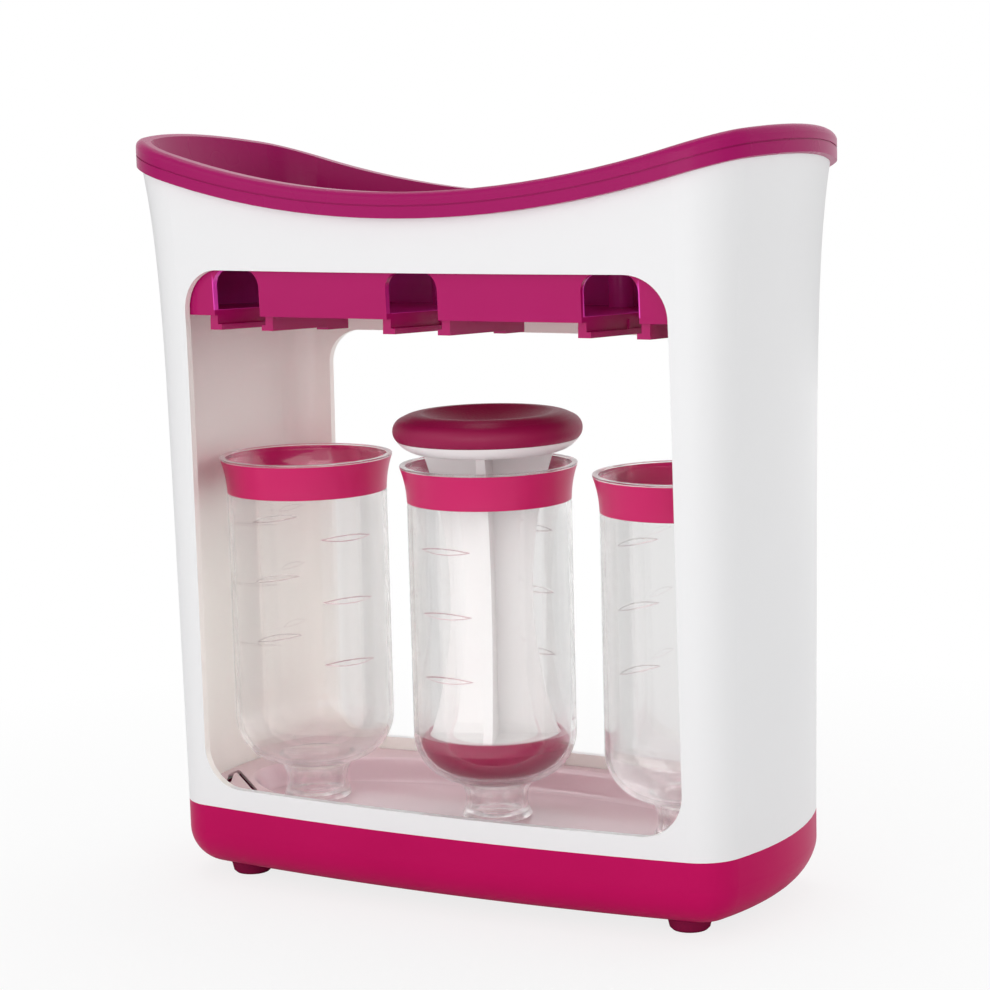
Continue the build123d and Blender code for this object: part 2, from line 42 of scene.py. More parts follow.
# Camera, fitted to the photograph: azimuth to the right of the front, elevation, roll, distance and target
CAMERA_AZIMUTH = radians(28.419)
CAMERA_ELEVATION = radians(8.522)
CAMERA_ROLL = radians(-1.503)
CAMERA_DISTANCE = 0.9016
CAMERA_TARGET = Vector((0.00215, 0.0, 0.1288))
CAMERA_LENS = 100.57
SENSOR = 36.0

# Tubes, in millimetres above the foot of the nozzle
SIDES = {"left": -1, "centre": 0, "right": 1}
TUBE_FOOT_Z = 21.5
TUBE_PITCH = 70.0
TUBE_RADIUS = 26.95
TUBE_WALL = 1.65
TUBE_HEIGHT = 117.8
DOME_HEIGHT = 28.5
DOME_RADIUS = 15.87
NECK_RADIUS = 13.4
NECK_WALL = 1.8
WAIST_RADIUS = 10.2
WAIST_HEIGHT = 5.4
RING_RADIUS = 11.5
RING_HEIGHT = 1.1
RING_INNER_RADIUS = 9.2
RING_STEP = 0.2
BORE_RADIUS = 5.2
PLATE_BOTTOM = 1.2
PLATE_TOP = 2.8
LIP_RADIUS = 29.1
LIP_THICKNESS = 1.9
LIP_EDGE = 0.55
COLLAR_BOTTOM = 105.8
COLLAR_RECESS = 0.7
COLLAR_THICKNESS = 0.9
COLLAR_FLARE = 1.84
COLLAR_BOW = 0.35
COLLAR_BOW_SHARE = 0.55
MOUTH_SHARE = 0.58
MOUTH_STEP = 2.0
DOME_X = TUBE_RADIUS - DOME_RADIUS
INNER_RADIUS = TUBE_RADIUS - TUBE_WALL
INNER_DOME = DOME_RADIUS - TUBE_WALL

# Gap that keeps two touching surfaces apart, in millimetres
HAIR = 0.03

# Volume marks: two columns of raised lens shapes on each tube
MARK_HEIGHTS = (92.5, 71.5, 50.5)
MARK_ANGLES = {"left": 60.6, "centre": -6.0, "right": 64.6}
MARK_HALF_ARC = 21.5
MARK_HALF_HEIGHT = 1.15
MARK_RISE = 0.32
MARK_EDGE = 0.42
MARK_CEILING = COLLAR_BOTTOM - 4.0
# Shares of the marks' rise between which an edge gets the painted rosy reflection
PAINTED_REFLECTION_RISE = (0.06, 0.92)

# Rows, columns and small edges of the turned pieces; heights in millimetres, turns in degrees
DOME_MIDDLE = 45
DOME_STEPS = 24
WAIST_STEPS = 14
SPOOL_STEPS = 12
FLARE_STEPS = 10
NOZZLE_EDGE = 0.45
MOUTH_EDGE = 0.35
COLLAR_EDGE = 0.2
FINE_ROW = 0.12
COARSE_ROW = 3.0
LAST_ROW_GAP = 0.5
ROW_NUDGE = 1e-4
INNER_ROWS = (95, 80, 65, 50, 38)
FINE_TURN = 0.6
COARSE_TURN = 3.0
COLLAR_COLUMNS = 160
GRIP_COLUMNS = 128
SHARP_TURN = radians(32.0)

# Plunger grip, in millimetres above the foot of the nozzle
GRIP_BOTTOM = 126.0
GRIP_TOP = 134.6
GRIP_FOOT_RADIUS = 29.8
GRIP_RADIUS = 31.0
GRIP_WIDEST = 128.7
GRIP_SHOULDER = (28.0, 133.2)
GRIP_CROWN = (24.9, 134.4)
GRIP_RIDGE_RADIUS = 21.6
GRIP_DISH = 5.4
GRIP_DISH_SHARE = 0.62
GRIP_SIDE_STEPS = 12
GRIP_CROWN_STEPS = 8
GRIP_DISH_STEPS = 16
GRIP_EDGE = 1.6
GRIP_EDGE_STEPS = 6
GRIP_LEAST_TURN = 9.0

# Hollow between the sloping shelf of the brackets and the floor of the tray, in millimetres
HOLLOW = {"X": (-76.0, 76.0), "Y": (-43.5, 43.5), "Z": (189.3, 212.0)}
HOLLOW_FADE = 0.2
SHELF_TILT = radians(2.86)

# Upward parts of a face's normal up to which the hollow gets painted light, and the width of the change
EVERY_SLOPE = 1.2
LOOKING_DOWN = -0.4
SLOPE_FADE = 0.1


def link(obj):
    """Put an object in the scene."""
    bpy.context.scene.collection.objects.link(obj)
    return obj


# Profiles in the plane of radius and height, in millimetres

def arc(a, b, c, steps):
    """Points on the arc from a over b to c, without a."""
    (ax, ay), (bx, by), (cx, cy) = a, b, c
    a2 = ax * ax + ay * ay
    b2 = bx * bx + by * by
    c2 = cx * cx + cy * cy
    d = 2 * (ax * (by - cy) + bx * (cy - ay) + cx * (ay - by))
    ux = (a2 * (by - cy) + b2 * (cy - ay) + c2 * (ay - by)) / d
    uy = (a2 * (cx - bx) + b2 * (ax - cx) + c2 * (bx - ax)) / d
    start = Vector((ax - ux, ay - uy))
    middle = Vector((bx - ux, by - uy))
    end = Vector((cx - ux, cy - uy))
    turn = start.angle_signed(middle) + middle.angle_signed(end)
    points = []
    for i in range(1, steps + 1):
        spin = -turn * i / steps
        points.append((
            ux + start.x * cos(spin) - start.y * sin(spin),
            uy + start.x * sin(spin) + start.y * cos(spin),
        ))
    return points


def rounded(points, radius, steps=3, closed=True, least_turn=18.0):
    """Replace every corner that turns more than least_turn degrees by a small curve."""
    side_share = 0.45
    count = len(points)
    result = []
    for i, (x, y) in enumerate(points):
        here = Vector((x, y))
        if not closed and i in (0, count - 1):
            result.append((x, y))
            continue
        before = Vector(points[i - 1]) - here
        after = Vector(points[(i + 1) % count]) - here
        if before.length < TINY or after.length < TINY:
            continue
        turn = 180 - before.angle(after) * 180 / pi
        if turn < least_turn:
            result.append((x, y))
            continue
        reach = min(radius, before.length * side_share, after.length * side_share)
        p = here + before.normalized() * reach
        q = here + after.normalized() * reach
        for k in range(steps + 1):
            t = k / steps
            curve = p * (1 - t) ** 2 + here * 2 * t * (1 - t) + q * t**2
            result.append((curve.x, curve.y))
    return result


def lathe(name, profile, centre, foot_z, angles, closed=True, push=None):
    """Surface of revolution about an upright axis; push moves a point outwards by its height and angle."""
    vertices = []
    rows = []
    for radius, height in profile:
        if radius < TINY:
            rows.append([len(vertices)])
            vertices.append((centre[0] * MM, centre[1] * MM, (foot_z + height) * MM))
            continue
        row = []
        for angle in angles:
            r = radius + (push(radius, height, angle) if push else 0.0)
            row.append(len(vertices))
            vertices.append((
                (centre[0] + r * sin(radians(angle))) * MM,
                (centre[1] - r * cos(radians(angle))) * MM,
                (foot_z + height) * MM,
            ))
        rows.append(row)
    pairs = list(zip(rows, rows[1:]))
    if closed:
        pairs.append((rows[-1], rows[0]))
    faces = []
    count = len(angles)
    for low, high in pairs:
        for i in range(count):
            j = (i + 1) % count
            if len(low) == 1 and len(high) == 1:
                break
            if len(low) == 1:
                faces.append((low[0], high[j], high[i]))
            elif len(high) == 1:
                faces.append((low[i], low[j], high[0]))
            else:
                faces.append((low[i], low[j], high[j], high[i]))
    mesh = bpy.data.meshes.new(name)
    mesh.from_pydata(vertices, [], faces)
    mesh.validate()
    mesh.polygons.foreach_set("use_smooth", [True] * len(mesh.polygons))
    mesh.set_sharp_from_angle(angle=SHARP_TURN)
    return link(bpy.data.objects.new(name, mesh))


def even_angles(count):
    """Angles round a full turn, in degrees."""
    return [360.0 * i / count for i in range(count)]


# Tube shape

def flare(radius):
    """Three points of the mouth's flare for a radius at the collar's foot."""
    low = COLLAR_BOTTOM
    high = TUBE_HEIGHT - LIP_THICKNESS
    middle = low + (high - low) * COLLAR_BOW_SHARE
    return (radius, low), (radius + COLLAR_BOW, middle), (radius + COLLAR_FLARE, high)


def dome_point(radius, angle):
    """Point on an arc about the dome's centre, at an angle below level."""
    return DOME_X + radius * cos(radians(angle)), DOME_HEIGHT - radius * sin(radians(angle))


def wall_heights():
    """Heights of the outer wall's rows, close together at the volume marks."""
    reach = MARK_HALF_HEIGHT + MARK_EDGE
    heights = []
    z = DOME_HEIGHT
    while z < COLLAR_BOTTOM - LAST_ROW_GAP:
        heights.append(z)
        near = any(abs(z - level) < reach for level in MARK_HEIGHTS)
        step = FINE_ROW if near else COARSE_ROW
        ahead = [level - reach for level in sorted(MARK_HEIGHTS) if level - reach > z + TINY]
        if not near and ahead and z + step > ahead[0]:
            z = ahead[0] + ROW_NUDGE
        else:
            z += step
    return heights


def tube_profile():
    """Closed outline of a tube's wall, from the nozzle's foot up the outside and down the inside."""
    neck = (NECK_RADIUS, DOME_HEIGHT - sqrt(DOME_RADIUS**2 - (NECK_RADIUS - DOME_X) ** 2))
    shoulder = (TUBE_RADIUS, DOME_HEIGHT)
    ring_top = (RING_RADIUS, RING_HEIGHT)
    lower = [(RING_INNER_RADIUS, 0), (RING_RADIUS, 0), ring_top]
    lower += arc(ring_top, (WAIST_RADIUS, WAIST_HEIGHT), neck, WAIST_STEPS)
    lower += arc(neck, dome_point(DOME_RADIUS, DOME_MIDDLE), shoulder, DOME_STEPS)[:-1]

    wall = [(TUBE_RADIUS, z) for z in wall_heights()]

    recess = TUBE_RADIUS - COLLAR_RECESS
    inner = flare(recess - TUBE_WALL * MOUTH_SHARE)
    inner_shoulder = (INNER_RADIUS, DOME_HEIGHT)
    inner_neck = (NECK_RADIUS - NECK_WALL, DOME_HEIGHT - INNER_DOME)
    inner_waist = (WAIST_RADIUS - NECK_WALL, WAIST_HEIGHT + NECK_WALL / 2)
    upper = [(TUBE_RADIUS, COLLAR_BOTTOM), (recess, COLLAR_BOTTOM)]
    upper += arc(*flare(recess), FLARE_STEPS)
    upper += [(LIP_RADIUS, TUBE_HEIGHT - LIP_EDGE), (LIP_RADIUS, TUBE_HEIGHT)]
    upper += [(inner[2][0], TUBE_HEIGHT), inner[2]]
    upper += arc(inner[2], inner[1], inner[0], FLARE_STEPS)
    upper += [(INNER_RADIUS, COLLAR_BOTTOM - MOUTH_STEP)]
    upper += [(INNER_RADIUS, z) for z in INNER_ROWS]
    upper += [inner_shoulder]
    upper += arc(inner_shoulder, dome_point(INNER_DOME, DOME_MIDDLE), inner_neck, DOME_STEPS)
    upper += arc(inner_neck, inner_waist, (RING_INNER_RADIUS - RING_STEP, PLATE_TOP), SPOOL_STEPS)
    upper += [(BORE_RADIUS, PLATE_TOP), (BORE_RADIUS, PLATE_BOTTOM), (RING_INNER_RADIUS, PLATE_BOTTOM)]
    return rounded(lower, NOZZLE_EDGE, closed=False) + wall + rounded(upper, MOUTH_EDGE, closed=False)


def collar_profile():
    """Closed outline of the coloured band; its top slopes up from the wall to the lip's outer edge."""
    inner = flare(TUBE_RADIUS - COLLAR_RECESS + HAIR)
    outer = flare(TUBE_RADIUS - COLLAR_RECESS + COLLAR_THICKNESS)
    foot = (TUBE_RADIUS, COLLAR_BOTTOM + HAIR)
    crest = (LIP_RADIUS - HAIR, TUBE_HEIGHT - LIP_EDGE - HAIR)
    low_edge = (inner[2][0], inner[2][1] - HAIR)
    band = [foot] + arc(foot, outer[1], crest, FLARE_STEPS)
    band += [low_edge] + arc(low_edge, inner[1], inner[0], FLARE_STEPS)
    return rounded(band, COLLAR_EDGE)


def mark_push(side):
    """Outward push of the volume marks on one tube: flat lens shapes with a short steep edge."""
    columns = (MARK_ANGLES[side], MARK_ANGLES[side] + 180)

    def push(radius, height, angle):
        if abs(radius - TUBE_RADIUS) > TINY or height > MARK_CEILING:
            return 0.0
        for level in MARK_HEIGHTS:
            dz = abs(height - level)
            if dz > MARK_HALF_HEIGHT + MARK_EDGE:
                continue
            for column in columns:
                turn = abs((angle - column + 180) % 360 - 180)
                if turn > MARK_HALF_ARC:
                    continue
                half = MARK_HALF_HEIGHT * (1 - (turn / MARK_HALF_ARC) ** 2)
                share = min(max((half - dz) / MARK_EDGE, 0.0), 1.0)
                return MARK_RISE * share * share * (3 - 2 * share)
        return 0.0

    return push


def tube_angles(side):
    """Angles of the tube's columns, close together at the volume marks."""
    arc_width = 2 * MARK_HALF_ARC
    gap = 180 - arc_width
    fine_steps = round(arc_width / FINE_TURN)
    coarse_steps = round(gap / COARSE_TURN)
    angles = []
    for column in (MARK_ANGLES[side], MARK_ANGLES[side] + 180):
        start = column - MARK_HALF_ARC
        end = column + MARK_HALF_ARC
        angles += [start + arc_width * i / fine_steps for i in range(fine_steps + 1)]
        angles += [end + gap * i / coarse_steps for i in range(1, coarse_steps)]
    return angles


def outline_marks(tube, centre, material):
    """Give the steep edges of a tube's volume marks their own material, which carries a painted rosy
    reflection.
    """
    tube.data.materials.append(material)
    least, most = PAINTED_REFLECTION_RISE
    for polygon in tube.data.polygons:
        x = polygon.center.x / MM - centre[0]
        y = polygon.center.y / MM - centre[1]
        rise = (hypot(x, y) - TUBE_RADIUS) / MARK_RISE
        height = polygon.center.z / MM - TUBE_FOOT_Z
        if least < rise < most and DOME_HEIGHT < height < MARK_CEILING:
            polygon.material_index = 1


def grip_profile():
    """Outline of the round cap: full sides, a rolled ridge and a deep dish for the palm."""
    foot = (GRIP_FOOT_RADIUS, GRIP_BOTTOM)
    ridge = (GRIP_RIDGE_RADIUS, GRIP_TOP)
    slope = (GRIP_RIDGE_RADIUS * GRIP_DISH_SHARE, GRIP_TOP - GRIP_DISH * GRIP_DISH_SHARE)
    points = [(0, GRIP_BOTTOM), foot]
    points += arc(foot, (GRIP_RADIUS, GRIP_WIDEST), GRIP_SHOULDER, GRIP_SIDE_STEPS)
    points += arc(GRIP_SHOULDER, GRIP_CROWN, ridge, GRIP_CROWN_STEPS)
    points += arc(ridge, slope, (0, GRIP_TOP - GRIP_DISH), GRIP_DISH_STEPS)
    return rounded(points, GRIP_EDGE, GRIP_EDGE_STEPS, closed=False, least_turn=GRIP_LEAST_TURN)


# Surface finishes; scales are in cells per metre, and noise mostly lies between the ends of its range
NOISE_RANGE = (0.3, 0.7)
CLOUD_SCALE = 18.0
GLOSS_SCALE = 40.0
GLOSS_SWING = 0.06
BUMP_HEIGHT = 0.0002
PLASTIC_IOR = 1.49
# Painted light: paler, warmer white for the casing's inward side, standing in for warm light bounced inside
# it
INNER_PAINTED_BOUNCE_LIGHT = (0.990, 0.960, 0.905)
# Painted light: brighter pink for the hollow above the shelf, standing in for light reaching in through the
# arches
HOLLOW_PAINTED_LIGHT = (0.95, 0.08, 0.58)

# Cosines between which a face counts more and more as turned inwards
INWARD = (-0.35, -0.15)


def new_node(tree, kind, **settings):
    """New shader node with its settings."""
    made = tree.nodes.new(f"ShaderNode{kind}")
    for name, value in settings.items():
        setattr(made, name, value)
    return made


def shader_tree(name):
    """New material with a Principled shader; returns the material, its node tree and the shader."""
    material = bpy.data.materials.new(name)
    material.use_nodes = True
    tree = material.node_tree
    tree.nodes.clear()
    output = new_node(tree, "OutputMaterial")
    shader = new_node(tree, "BsdfPrincipled")
    tree.links.new(shader.outputs["BSDF"], output.inputs["Surface"])
    return material, tree, shader


def noise(tree, scale, detail=3.0, stretch=(1, 1, 1)):
    """Noise in the object's own space."""
    place = new_node(tree, "TexCoord")
    mapping = new_node(tree, "Mapping")
    mapping.inputs["Scale"].default_value = stretch
    texture = new_node(tree, "TexNoise")
    texture.inputs["Scale"].default_value = scale
    texture.inputs["Detail"].default_value = detail
    tree.links.new(place.outputs["Object"], mapping.inputs["Vector"])
    tree.links.new(mapping.outputs["Vector"], texture.inputs["Vector"])
    return texture.outputs["Fac"]


def spread(tree, value, low=0.0, high=1.0, source=NOISE_RANGE):
    """Map a value from its source range to another."""
    made = new_node(tree, "MapRange")
    made.inputs["From Min"].default_value = source[0]
    made.inputs["From Max"].default_value = source[1]
    made.inputs["To Min"].default_value = low
    made.inputs["To Max"].default_value = high
    tree.links.new(value, made.inputs["Value"])
    return made.outputs["Result"]


def combine(tree, operation, first, second):
    """Join two values by one operation."""
    made = new_node(tree, "Math", operation=operation)
    tree.links.new(first, made.inputs[0])
    tree.links.new(second, made.inputs[1])
    return made.outputs[0]


def tint(tree, value, first, second):
    """Mix two colours by a value."""
    mix = new_node(tree, "Mix", data_type="RGBA")
    mix.inputs["A"].default_value = (*first, 1)
    mix.inputs["B"].default_value = (*second, 1)
    tree.links.new(value, mix.inputs["Factor"])
    return mix.outputs["Result"]


def mix_over(tree, share, colour):
    """Mix a colour over the shader's own base colour."""
    base = tree.nodes["Principled BSDF"].inputs["Base Color"]
    plain = base.links[0].from_socket
    mix = new_node(tree, "Mix", data_type="RGBA")
    mix.inputs["B"].default_value = (*colour, 1)
    tree.links.new(share, mix.inputs["Factor"])
    tree.links.new(plain, mix.inputs["A"])
    tree.links.new(mix.outputs["Result"], base)


def add_bump(tree, shader, value, strength, distance=BUMP_HEIGHT):
    """Add a fine bump to a shader."""
    made = new_node(tree, "Bump")
    made.inputs["Strength"].default_value = strength
    made.inputs["Distance"].default_value = distance
    tree.links.new(value, made.inputs["Height"])
    tree.links.new(made.outputs["Normal"], shader.inputs["Normal"])


def moulded(name, first, second, roughness, specular, grain, bump, ior=1.5):
    """Moulded plastic: two close tints in soft clouds, uneven gloss and a faint surface ripple."""
    material, tree, shader = shader_tree(name)
    clouds = spread(tree, noise(tree, CLOUD_SCALE))
    tree.links.new(tint(tree, clouds, first, second), shader.inputs["Base Color"])
    least = roughness * (1 - GLOSS_SWING)
    most = roughness * (1 + GLOSS_SWING)
    gloss = spread(tree, noise(tree, GLOSS_SCALE, detail=2.0), least, most)
    tree.links.new(gloss, shader.inputs["Roughness"])
    shader.inputs["Specular IOR Level"].default_value = specular
    shader.inputs["IOR"].default_value = ior
    add_bump(tree, shader, noise(tree, grain, detail=2.0), bump)
    return material


def faces_inward(tree):
    """One where the surface faces the upright axis through the object's middle, zero elsewhere."""
    place = new_node(tree, "TexCoord")
    level = new_node(tree, "VectorMath", operation="MULTIPLY")
    level.inputs[1].default_value = (1, 1, 0)
    outward = new_node(tree, "VectorMath", operation="NORMALIZE")
    facing = new_node(tree, "VectorMath", operation="DOT_PRODUCT")
    tree.links.new(place.outputs["Object"], level.inputs[0])
    tree.links.new(level.outputs[0], outward.inputs[0])
    tree.links.new(outward.outputs[0], facing.inputs[0])
    tree.links.new(place.outputs["Normal"], facing.inputs[1])
    return spread(tree, facing.outputs["Value"], 1.0, 0.0, INWARD)


def within(tree, value, low, high):
    """One where a coordinate lies between two lengths in millimetres, zero elsewhere."""
    middle = (low + high) / 2
    reach = high - middle
    offset = new_node(tree, "Math", operation="SUBTRACT")
    offset.inputs[1].default_value = middle * MM
    tree.links.new(value, offset.inputs[0])
    away = new_node(tree, "Math", operation="ABSOLUTE")
    tree.links.new(offset.outputs[0], away.inputs[0])
    return spread(tree, away.outputs[0], 1.0, 0.0, ((reach - HOLLOW_FADE) * MM, reach * MM))


def paint_light_in_hollow(material, slope_limit):
    """Paint light into the hidden hollow above the shelf: a brighter pink mixed over the base colour stands
    in for light reaching in through the arches.
    """
    tree = material.node_tree
    place = new_node(tree, "TexCoord")
    axes = new_node(tree, "SeparateXYZ")
    tree.links.new(place.outputs["Object"], axes.inputs[0])
    normal = new_node(tree, "SeparateXYZ")
    tree.links.new(place.outputs["Normal"], normal.inputs[0])
    above_shelf = new_node(tree, "Math", operation="MULTIPLY_ADD")
    above_shelf.inputs[1].default_value = tan(SHELF_TILT)
    tree.links.new(axes.outputs["Y"], above_shelf.inputs[0])
    tree.links.new(axes.outputs["Z"], above_shelf.inputs[2])
    across = within(tree, axes.outputs["X"], *HOLLOW["X"])
    along = within(tree, axes.outputs["Y"], *HOLLOW["Y"])
    upright = within(tree, above_shelf.outputs[0], *HOLLOW["Z"])
    level = combine(tree, "MULTIPLY", across, along)
    level = combine(tree, "MAXIMUM", level, faces_inward(tree))
    slope = spread(tree, normal.outputs["Z"], 1.0, 0.0, (slope_limit - SLOPE_FADE, slope_limit))
    share = combine(tree, "MULTIPLY", combine(tree, "MULTIPLY", level, upright), slope)
    mix_over(tree, share, HOLLOW_PAINTED_LIGHT)


def casing():
    """White casing plastic with painted warm bounce light: paler and warmer on the side that faces its own
    middle.
    """
    material = moulded(
        "white_casing", (0.862, 0.862, 0.870), (0.870, 0.870, 0.878),
        roughness=0.30, specular=0.35, grain=60.0, bump=0.004,
    )
    tree = material.node_tree
    # Painted warm bounce light on the inward-facing side
    mix_over(tree, faces_inward(tree), INNER_PAINTED_BOUNCE_LIGHT)
    return material


def clear_plastic():
    """Clear polished plastic with a faint warm tint and faint flow lines."""
    material, tree, shader = shader_tree("clear_plastic")
    flow = spread(tree, noise(tree, scale=60.0, stretch=(1, 1, 0.06)))
    colours = tint(tree, flow, (0.985, 0.982, 0.980), (0.997, 0.995, 0.994))
    tree.links.new(colours, shader.inputs["Base Color"])
    shader.inputs["Transmission Weight"].default_value = 1.0
    shader.inputs["IOR"].default_value = PLASTIC_IOR
    shader.inputs["Roughness"].default_value = 0.0
    shader.inputs["Alpha"].default_value = 0.76
    return material


def mark_edge():
    """Edges of the volume marks: the same clear plastic with a faint painted rosy reflection of the magenta
    parts.
    """
    material, tree, shader = shader_tree("mark_edge")
    flow = spread(tree, noise(tree, scale=300.0))
    colours = tint(tree, flow, (0.62, 0.36, 0.40), (0.72, 0.46, 0.50))
    tree.links.new(colours, shader.inputs["Base Color"])
    shader.inputs["Transmission Weight"].default_value = 0.8
    shader.inputs["IOR"].default_value = PLASTIC_IOR
    shader.inputs["Roughness"].default_value = 0.15
    return material


def soft_touch():
    """Soft-touch cap: satin rubber with a fine even grain."""
    material, tree, shader = shader_tree("soft_touch")
    clouds = spread(tree, noise(tree, scale=40.0))
    colours = tint(tree, clouds, (0.290, 0.0060, 0.062), (0.325, 0.0080, 0.072))
    tree.links.new(colours, shader.inputs["Base Color"])
    gloss = spread(tree, noise(tree, scale=1500.0, detail=2.0), 0.36, 0.48)
    tree.links.new(gloss, shader.inputs["Roughness"])
    shader.inputs["Specular IOR Level"].default_value = 0.26
    add_bump(tree, shader, noise(tree, scale=1400.0), strength=0.25)
    return material


def brushed_steel():
    """Zinc-plated steel with faint turning marks."""
    material, tree, shader = shader_tree("zinc_plate")
    marks = spread(tree, noise(tree, scale=900.0, stretch=(1, 1, 0.2)))
    colours = tint(tree, marks, (0.55, 0.55, 0.56), (0.68, 0.68, 0.67))
    tree.links.new(colours, shader.inputs["Base Color"])
    shader.inputs["Metallic"].default_value = 1.0
    tree.links.new(spread(tree, marks, 0.28, 0.42, (0, 1)), shader.inputs["Roughness"])
    add_bump(tree, shader, marks, strength=0.08, distance=BUMP_HEIGHT / 2)
    return material


white_stem = moulded(
    "white_stem", (0.930, 0.915, 0.910), (0.940, 0.925, 0.920),
    roughness=0.34, specular=0.3, grain=90.0, bump=0.004,
)
white_head = moulded(
    "white_head", (0.930, 0.885, 0.895), (0.940, 0.895, 0.905),
    roughness=0.32, specular=0.3, grain=90.0, bump=0.004,
)
base_gloss = moulded(
    "magenta_base", (0.490, 0.0025, 0.095), (0.520, 0.0036, 0.104),
    roughness=0.34, specular=0.07, grain=700.0, bump=0.03,
)
tray_gloss = moulded(
    "magenta_tray", (0.350, 0.0030, 0.110), (0.375, 0.0042, 0.120),
    roughness=0.28, specular=0.14, grain=700.0, bump=0.03,
)
bracket_gloss = moulded(
    "magenta_brackets", (0.410, 0.0030, 0.115), (0.440, 0.0042, 0.128),
    roughness=0.2, specular=0.22, grain=500.0, bump=0.05,
)
collar_gloss = moulded(
    "magenta_collar", (0.600, 0.011, 0.128), (0.640, 0.015, 0.142),
    roughness=0.3, specular=0.3, grain=900.0, bump=0.05,
)
floor_gloss = moulded(
    "pink_floor", (0.745, 0.525, 0.568), (0.775, 0.555, 0.598),
    roughness=0.16, specular=0.5, grain=160.0, bump=0.006, ior=1.6,
)
seal_soft = moulded(
    "silicone_seal", (0.300, 0.004, 0.058), (0.340, 0.006, 0.070),
    roughness=0.38, specular=0.4, grain=1200.0, bump=0.05,
)
foot_rubber = moulded(
    "foot_rubber", (0.200, 0.007, 0.048), (0.240, 0.010, 0.058),
    roughness=0.70, specular=0.04, grain=2200.0, bump=0.15,
)
clear = clear_plastic()
rosy_painted_reflection = mark_edge()
grip_soft = soft_touch()

# Painted light in the hollow behind the arches, on the brackets and on the tray's downward faces
paint_light_in_hollow(bracket_gloss, EVERY_SLOPE)
paint_light_in_hollow(tray_gloss, LOOKING_DOWN)


def dress(obj, material):
    """Give a whole object one material."""
    obj.data.materials.clear()
    obj.data.materials.append(material)
    for polygon in obj.data.polygons:
        polygon.material_index = 0


def paint(node, material):
    """Give a CAD node a material through its own slots."""
    mesh = nodes[node].data
    if not mesh.materials:
        mesh.materials.append(material)
    for i in range(len(mesh.materials)):
        mesh.materials[i] = material


def adopt(piece, body, slot, material, *replaced):
    """Finish a new piece: material, body and the CAD nodes it stands for; slot is not used."""
    dress(piece, material)
    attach(piece, body)
    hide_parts(*replaced)


# Pieces

for side, index in SIDES.items():
    middle = (index * TUBE_PITCH, 0.0)
    tube = lathe(
        f"clear_tube_{side}", tube_profile(), middle, TUBE_FOOT_Z + HAIR, tube_angles(side),
        push=mark_push(side),
    )
    adopt(tube, f"tube_{side}", "clear_plastic", clear, f"tube_{side}")
    tube.visible_shadow = False
    # Painted rosy reflection on the marks' steep edges
    outline_marks(tube, middle, rosy_painted_reflection)

    collar = lathe(f"collar_band_{side}", collar_profile(), middle, TUBE_FOOT_Z, even_angles(COLLAR_COLUMNS))
    adopt(collar, f"tube_{side}", "magenta_gloss", collar_gloss, f"collar_{side}")

grip = lathe("grip_cap", grip_profile(), (0.0, 0.0), TUBE_FOOT_Z, even_angles(GRIP_COLUMNS), closed=False)
adopt(grip, "plunger", "magenta_soft_touch", grip_soft, "plunger_grip")

paint("housing", casing())
paint("plunger_stem", white_stem)
paint("plunger_head", white_head)
paint("plunger_seal", seal_soft)
paint("base_tub", base_gloss)
paint("top_tray", tray_gloss)
paint("bracket_frame", bracket_gloss)
paint("floor_insert", floor_gloss)
paint("base_screws", brushed_steel())
for node in ("foot_left_front", "foot_left_rear", "foot_right_front", "foot_right_rear"):
    paint(node, foot_rubber)


# Camera

def place_camera():
    """Camera at the photograph's viewpoint."""
    back = Vector((
        sin(CAMERA_AZIMUTH) * cos(CAMERA_ELEVATION),
        -cos(CAMERA_AZIMUTH) * cos(CAMERA_ELEVATION),
        sin(CAMERA_ELEVATION),
    ))
    right = (-back).cross(Vector((0, 0, 1))).normalized()
    up = right.cross(-back)
    rolled_right = right * cos(CAMERA_ROLL) + up * sin(CAMERA_ROLL)
    rolled_up = up * cos(CAMERA_ROLL) - right * sin(CAMERA_ROLL)
    data = bpy.data.cameras.new("photo_camera")
    data.lens = CAMERA_LENS
    data.sensor_width = SENSOR
    camera = link(bpy.data.objects.new("photo_camera", data))
    place = Matrix((rolled_right, rolled_up, back)).transposed().to_4x4()
    place.translation = CAMERA_TARGET + back * CAMERA_DISTANCE
    camera.matrix_world = place
    bpy.context.scene.camera = camera


# Light; lengths in metres, power in watts

AMBIENT = 0.50
FLOOR_REACH = 6.0
FLOOR_DROP = 0.0002
FLOOR_GREY = 0.9

# The floor's own shade gives way to white from the first distance to the second
WHITE_DISTANCES = (0.12, 0.36)
WHITE_SHARES = (0.80, 1.0)


def lamp(name, place, aim_height, size, power, mirrored=True):
    """Soft square lamp that looks at the object's axis and isn't seen by the camera."""
    data = bpy.data.lights.new(name, "AREA")
    data.shape = "SQUARE"
    data.size = size
    data.energy = power
    obj = link(bpy.data.objects.new(name, data))
    obj.location = place
    obj.rotation_mode = "QUATERNION"
    aim = Vector((0, 0, aim_height))
    obj.rotation_quaternion = (aim - Vector(place)).to_track_quat("-Z", "Y")
    obj.visible_camera = False
    obj.visible_glossy = mirrored


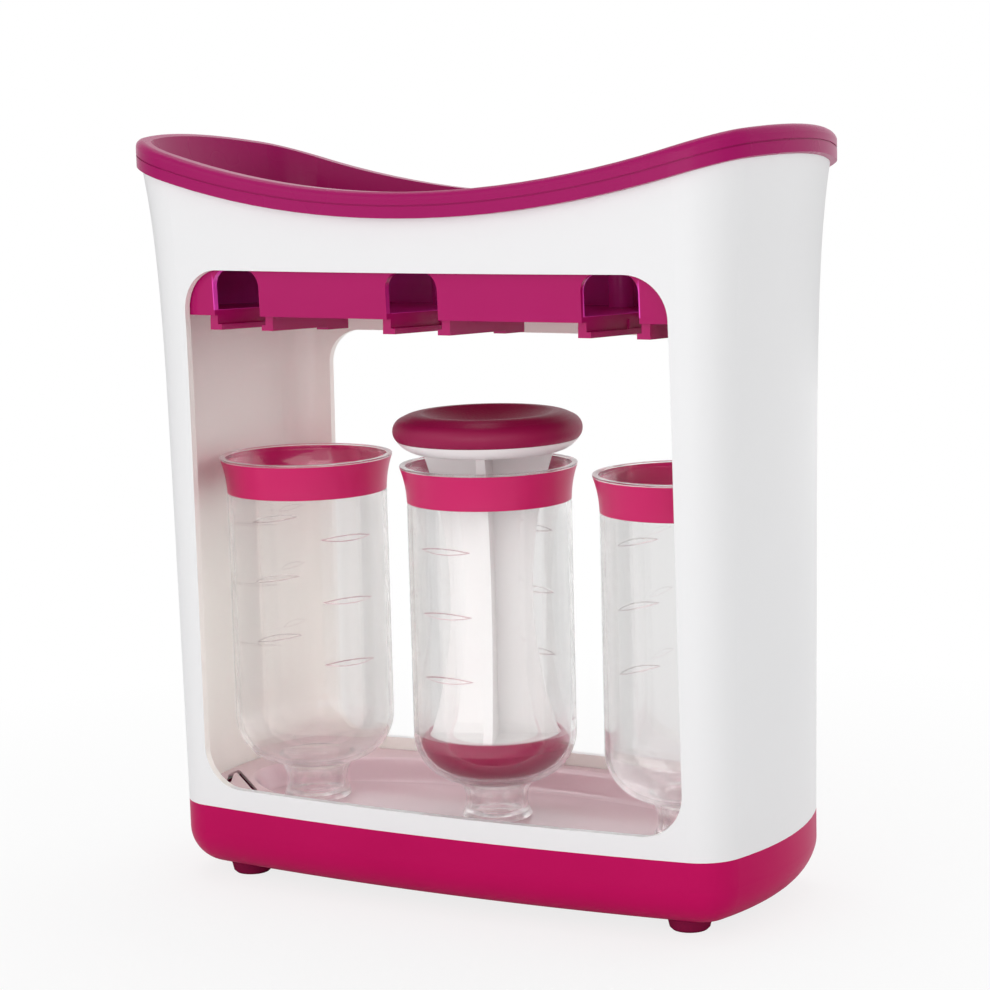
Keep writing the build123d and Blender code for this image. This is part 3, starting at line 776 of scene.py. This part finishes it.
def light_world():
    """White for camera, mirror and glass rays, and a calmer white for the light on the object."""
    world = bpy.data.worlds.new("studio")
    bpy.context.scene.world = world
    world.use_nodes = True
    tree = world.node_tree
    tree.nodes.clear()
    output = new_node(tree, "OutputWorld")
    seen = new_node(tree, "Background")
    seen.inputs["Color"].default_value = (1, 1, 1, 1)
    seen.inputs["Strength"].default_value = 1.0
    lit = new_node(tree, "Background")
    lit.inputs["Color"].default_value = (1, 1, 1, 1)
    lit.inputs["Strength"].default_value = AMBIENT
    path = new_node(tree, "LightPath")
    direct = combine(tree, "MAXIMUM", path.outputs["Is Camera Ray"], path.outputs["Is Glossy Ray"])
    direct = combine(tree, "MAXIMUM", direct, path.outputs["Is Transmission Ray"])
    mix = new_node(tree, "MixShader")
    tree.links.new(direct, mix.inputs["Fac"])
    tree.links.new(lit.outputs[0], mix.inputs[1])
    tree.links.new(seen.outputs[0], mix.inputs[2])
    tree.links.new(mix.outputs[0], output.inputs["Surface"])


def lay_floor():
    """Pale floor that keeps a soft shadow near the object and fades to white further out."""
    mesh = bpy.data.meshes.new("studio_floor")
    corners = [(x * FLOOR_REACH, y * FLOOR_REACH, 0) for x, y in ((-1, -1), (1, -1), (1, 1), (-1, 1))]
    mesh.from_pydata(corners, [], [(0, 1, 2, 3)])
    floor = link(bpy.data.objects.new("studio_floor", mesh))
    floor.location.z = -FLOOR_DROP
    material = bpy.data.materials.new("studio_floor")
    material.use_nodes = True
    tree = material.node_tree
    tree.nodes.clear()
    output = new_node(tree, "OutputMaterial")
    matt = new_node(tree, "BsdfDiffuse")
    matt.inputs["Color"].default_value = (FLOOR_GREY, FLOOR_GREY, FLOOR_GREY, 1)
    glow = new_node(tree, "Emission")
    glow.inputs["Strength"].default_value = 1.0
    place = new_node(tree, "TexCoord")
    length = new_node(tree, "VectorMath", operation="LENGTH")
    tree.links.new(place.outputs["Object"], length.inputs[0])
    fade = spread(tree, length.outputs["Value"], *WHITE_SHARES, WHITE_DISTANCES)
    path = new_node(tree, "LightPath")
    mix = new_node(tree, "MixShader")
    tree.links.new(combine(tree, "MULTIPLY", fade, path.outputs["Is Camera Ray"]), mix.inputs["Fac"])
    tree.links.new(matt.outputs[0], mix.inputs[1])
    tree.links.new(glow.outputs[0], mix.inputs[2])
    tree.links.new(mix.outputs[0], output.inputs["Surface"])
    mesh.materials.append(material)


place_camera()
light_world()
lay_floor()
lamp("left_front", (-0.70, -1.30, 0.55), aim_height=0.12, size=1.2, power=3.8)
lamp("low_front", (0.25, -1.40, 0.16), aim_height=0.16, size=0.9, power=5.5)
lamp("right_front", (1.00, -1.05, 0.35), aim_height=0.12, size=1.2, power=3.4)
lamp("top", (-0.20, 0.25, 1.35), aim_height=0.20, size=0.9, power=4.5)
lamp("rear_right", (0.80, 1.15, 0.35), aim_height=0.12, size=0.9, power=4.4, mirrored=False)
lamp("rear", (0.10, 1.40, 0.50), aim_height=0.12, size=1.0, power=3.4, mirrored=False)

scene = bpy.context.scene
scene.view_settings.view_transform = "Standard"
scene.cycles.max_bounces = 24
scene.cycles.transmission_bounces = 24
scene.cycles.transparent_max_bounces = 16
scene.cycles.glossy_bounces = 8
